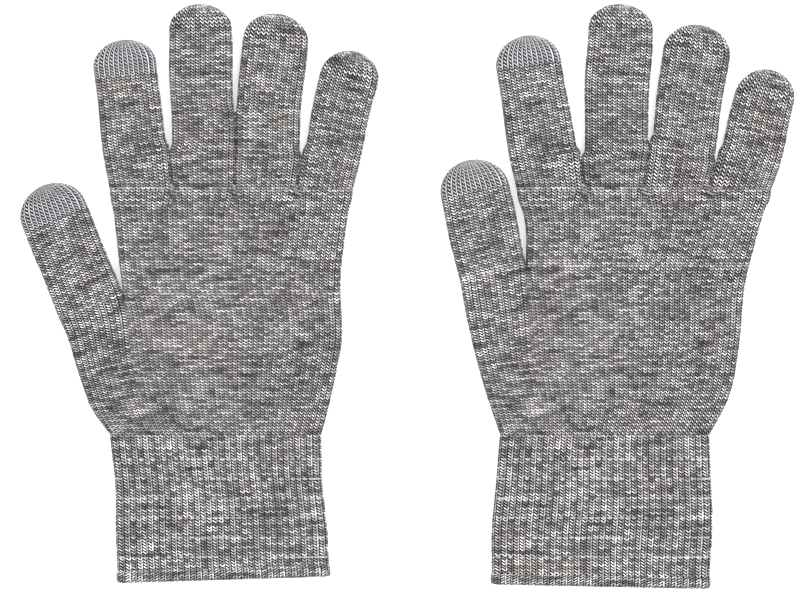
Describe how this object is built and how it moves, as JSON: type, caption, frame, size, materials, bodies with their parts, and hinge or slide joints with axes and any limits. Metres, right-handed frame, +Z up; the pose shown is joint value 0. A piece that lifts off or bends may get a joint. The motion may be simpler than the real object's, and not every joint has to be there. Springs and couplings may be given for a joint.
{
  "type": "touchscreen gloves",
  "caption": "Pair of melange grey knitted gloves with ribbed cuffs and paler conductive tips on the index finger and thumb, lying flat with the fingers slightly spread.",
  "frame": {"origin": "on the surface that the pair lies on, below the middle of the pair's box", "axes": "+X across the pair towards the right glove, +Y from the cuffs to the fingertips, +Z up from the surface"},
  "size_m": [0.317, 0.2392, 0.0085],
  "materials": {
    "melange_knit": "matte melange jersey knit",
    "rib_knit": "matte melange rib knit",
    "touch_knit": "conductive yarn knit, faint metallic sheen",
    "tack_yarn": "matte yarn",
    "elastic_thread": "covered elastic"
  },
  "bodies": {
    "left_palm": {"left_palm": "melange_knit", "left_crotch_tacks": "tack_yarn"},
    "left_cuff": {"left_cuff": "rib_knit", "left_cuff_welt": "rib_knit", "left_cuff_elastic": "elastic_thread"},
    "left_index_base": {"left_index_base": "melange_knit"},
    "left_index_end": {"left_index_end": "melange_knit", "left_index_touch_tip": "touch_knit"},
    "left_middle_base": {"left_middle_base": "melange_knit"},
    "left_middle_end": {"left_middle_end": "melange_knit"},
    "left_ring_base": {"left_ring_base": "melange_knit"},
    "left_ring_end": {"left_ring_end": "melange_knit"},
    "left_little_base": {"left_little_base": "melange_knit"},
    "left_little_end": {"left_little_end": "melange_knit"},
    "left_thumb_base": {"left_thumb_base": "melange_knit"},
    "left_thumb_end": {"left_thumb_end": "melange_knit", "left_thumb_touch_tip": "touch_knit"},
    "right_palm": {"right_palm": "melange_knit", "right_crotch_tacks": "tack_yarn"},
    "right_cuff": {"right_cuff": "rib_knit", "right_cuff_welt": "rib_knit", "right_cuff_elastic": "elastic_thread"},
    "right_index_base": {"right_index_base": "melange_knit"},
    "right_index_end": {"right_index_end": "melange_knit", "right_index_touch_tip": "touch_knit"},
    "right_middle_base": {"right_middle_base": "melange_knit"},
    "right_middle_end": {"right_middle_end": "melange_knit"},
    "right_ring_base": {"right_ring_base": "melange_knit"},
    "right_ring_end": {"right_ring_end": "melange_knit"},
    "right_little_base": {"right_little_base": "melange_knit"},
    "right_little_end": {"right_little_end": "melange_knit"},
    "right_thumb_base": {"right_thumb_base": "melange_knit"},
    "right_thumb_end": {"right_thumb_end": "melange_knit", "right_thumb_touch_tip": "touch_knit"}
  },
  "joints": [
    {"name": "pair_part", "type": "slide", "parent": "left_palm", "child": "right_palm", "axis": [0, 0, 1], "range_m": [0, 0.2]},
    {"name": "left_wrist_fold", "type": "hinge", "parent": "left_palm", "child": "left_cuff", "pos_m": [-0.07855, -0.05668, 0.008], "axis": [-1, 0, 0], "range_deg": [0, 90]},
    {"name": "left_index_knuckle", "type": "hinge", "parent": "left_palm", "child": "left_index_base", "pos_m": [-0.11021, 0.05053, 0.008], "axis": [1, 0, 0], "range_deg": [0, 90]},
    {"name": "left_index_middle_fold", "type": "hinge", "parent": "left_index_base", "child": "left_index_end", "pos_m": [-0.1135, 0.07416, 0.008], "axis": [0.9952, 0.0976, 0], "range_deg": [0, 80]},
    {"name": "left_middle_knuckle", "type": "hinge", "parent": "left_palm", "child": "left_middle_base", "pos_m": [-0.08334, 0.05053, 0.008], "axis": [1, 0, 0], "range_deg": [0, 90]},
    {"name": "left_middle_middle_fold", "type": "hinge", "parent": "left_middle_base", "child": "left_middle_end", "pos_m": [-0.08416, 0.08156, 0.008], "axis": [0.9996, 0.0279, 0], "range_deg": [0, 100]},
    {"name": "left_ring_knuckle", "type": "hinge", "parent": "left_palm", "child": "left_ring_base", "pos_m": [-0.05755, 0.05053, 0.008], "axis": [1, 0, 0], "range_deg": [0, 90]},
    {"name": "left_ring_middle_fold", "type": "hinge", "parent": "left_ring_base", "child": "left_ring_end", "pos_m": [-0.05641, 0.07964, 0.008], "axis": [0.9962, -0.0872, 0], "range_deg": [0, 100]},
    {"name": "left_little_knuckle", "type": "hinge", "parent": "left_palm", "child": "left_little_base", "pos_m": [-0.03216, 0.05053, 0.008], "axis": [1, 0, 0], "range_deg": [0, 90]},
    {"name": "left_little_middle_fold", "type": "hinge", "parent": "left_little_base", "child": "left_little_end", "pos_m": [-0.02783, 0.07191, 0.008], "axis": [0.9767, -0.2147, 0], "range_deg": [0, 100]},
    {"name": "left_thumb_knuckle", "type": "hinge", "parent": "left_palm", "child": "left_thumb_base", "pos_m": [-0.13236, 0.00282, 0.008], "axis": [0.9278, 0.373, 0], "range_deg": [0, 70]},
    {"name": "left_thumb_middle_fold", "type": "hinge", "parent": "left_thumb_base", "child": "left_thumb_end", "pos_m": [-0.1396, 0.02082, 0.008], "axis": [0.9278, 0.373, 0], "range_deg": [0, 80]},
    {"name": "right_wrist_fold", "type": "hinge", "parent": "right_palm", "child": "right_cuff", "pos_m": [0.08075, -0.05668, 0.008], "axis": [-1, 0, 0], "range_deg": [0, 90]},
    {"name": "right_index_knuckle", "type": "hinge", "parent": "right_palm", "child": "right_index_base", "pos_m": [0.05715, 0.05053, 0.008], "axis": [1, 0, 0], "range_deg": [0, 90]},
    {"name": "right_index_middle_fold", "type": "hinge", "parent": "right_index_base", "child": "right_index_end", "pos_m": [0.05272, 0.07499, 0.008], "axis": [0.9895, 0.1444, 0], "range_deg": [0, 80]},
    {"name": "right_middle_knuckle", "type": "hinge", "parent": "right_palm", "child": "right_middle_base", "pos_m": [0.085, 0.05053, 0.008], "axis": [1, 0, 0], "range_deg": [0, 90]},
    {"name": "right_middle_middle_fold", "type": "hinge", "parent": "right_middle_base", "child": "right_middle_end", "pos_m": [0.08579, 0.08156, 0.008], "axis": [0.9988, -0.0488, 0], "range_deg": [0, 100]},
    {"name": "right_ring_knuckle", "type": "hinge", "parent": "right_palm", "child": "right_ring_base", "pos_m": [0.11131, 0.05053, 0.008], "axis": [1, 0, 0], "range_deg": [0, 90]},
    {"name": "right_ring_middle_fold", "type": "hinge", "parent": "right_ring_base", "child": "right_ring_end", "pos_m": [0.11515, 0.07728, 0.008], "axis": [0.991, -0.134, 0], "range_deg": [0, 100]},
    {"name": "right_little_knuckle", "type": "hinge", "parent": "right_palm", "child": "right_little_base", "pos_m": [0.13848, 0.05053, 0.008], "axis": [1, 0, 0], "range_deg": [0, 90]},
    {"name": "right_little_middle_fold", "type": "hinge", "parent": "right_little_base", "child": "right_little_end", "pos_m": [0.14321, 0.06789, 0.008], "axis": [0.974, -0.2266, 0], "range_deg": [0, 100]},
    {"name": "right_thumb_knuckle", "type": "hinge", "parent": "right_palm", "child": "right_thumb_base", "pos_m": [0.03342, 0.01656, 0.008], "axis": [0.9759, 0.2181, 0], "range_deg": [0, 70]},
    {"name": "right_thumb_middle_fold", "type": "hinge", "parent": "right_thumb_base", "child": "right_thumb_end", "pos_m": [0.02983, 0.03266, 0.008], "axis": [0.9759, 0.2181, 0], "range_deg": [0, 80]}
  ]
}
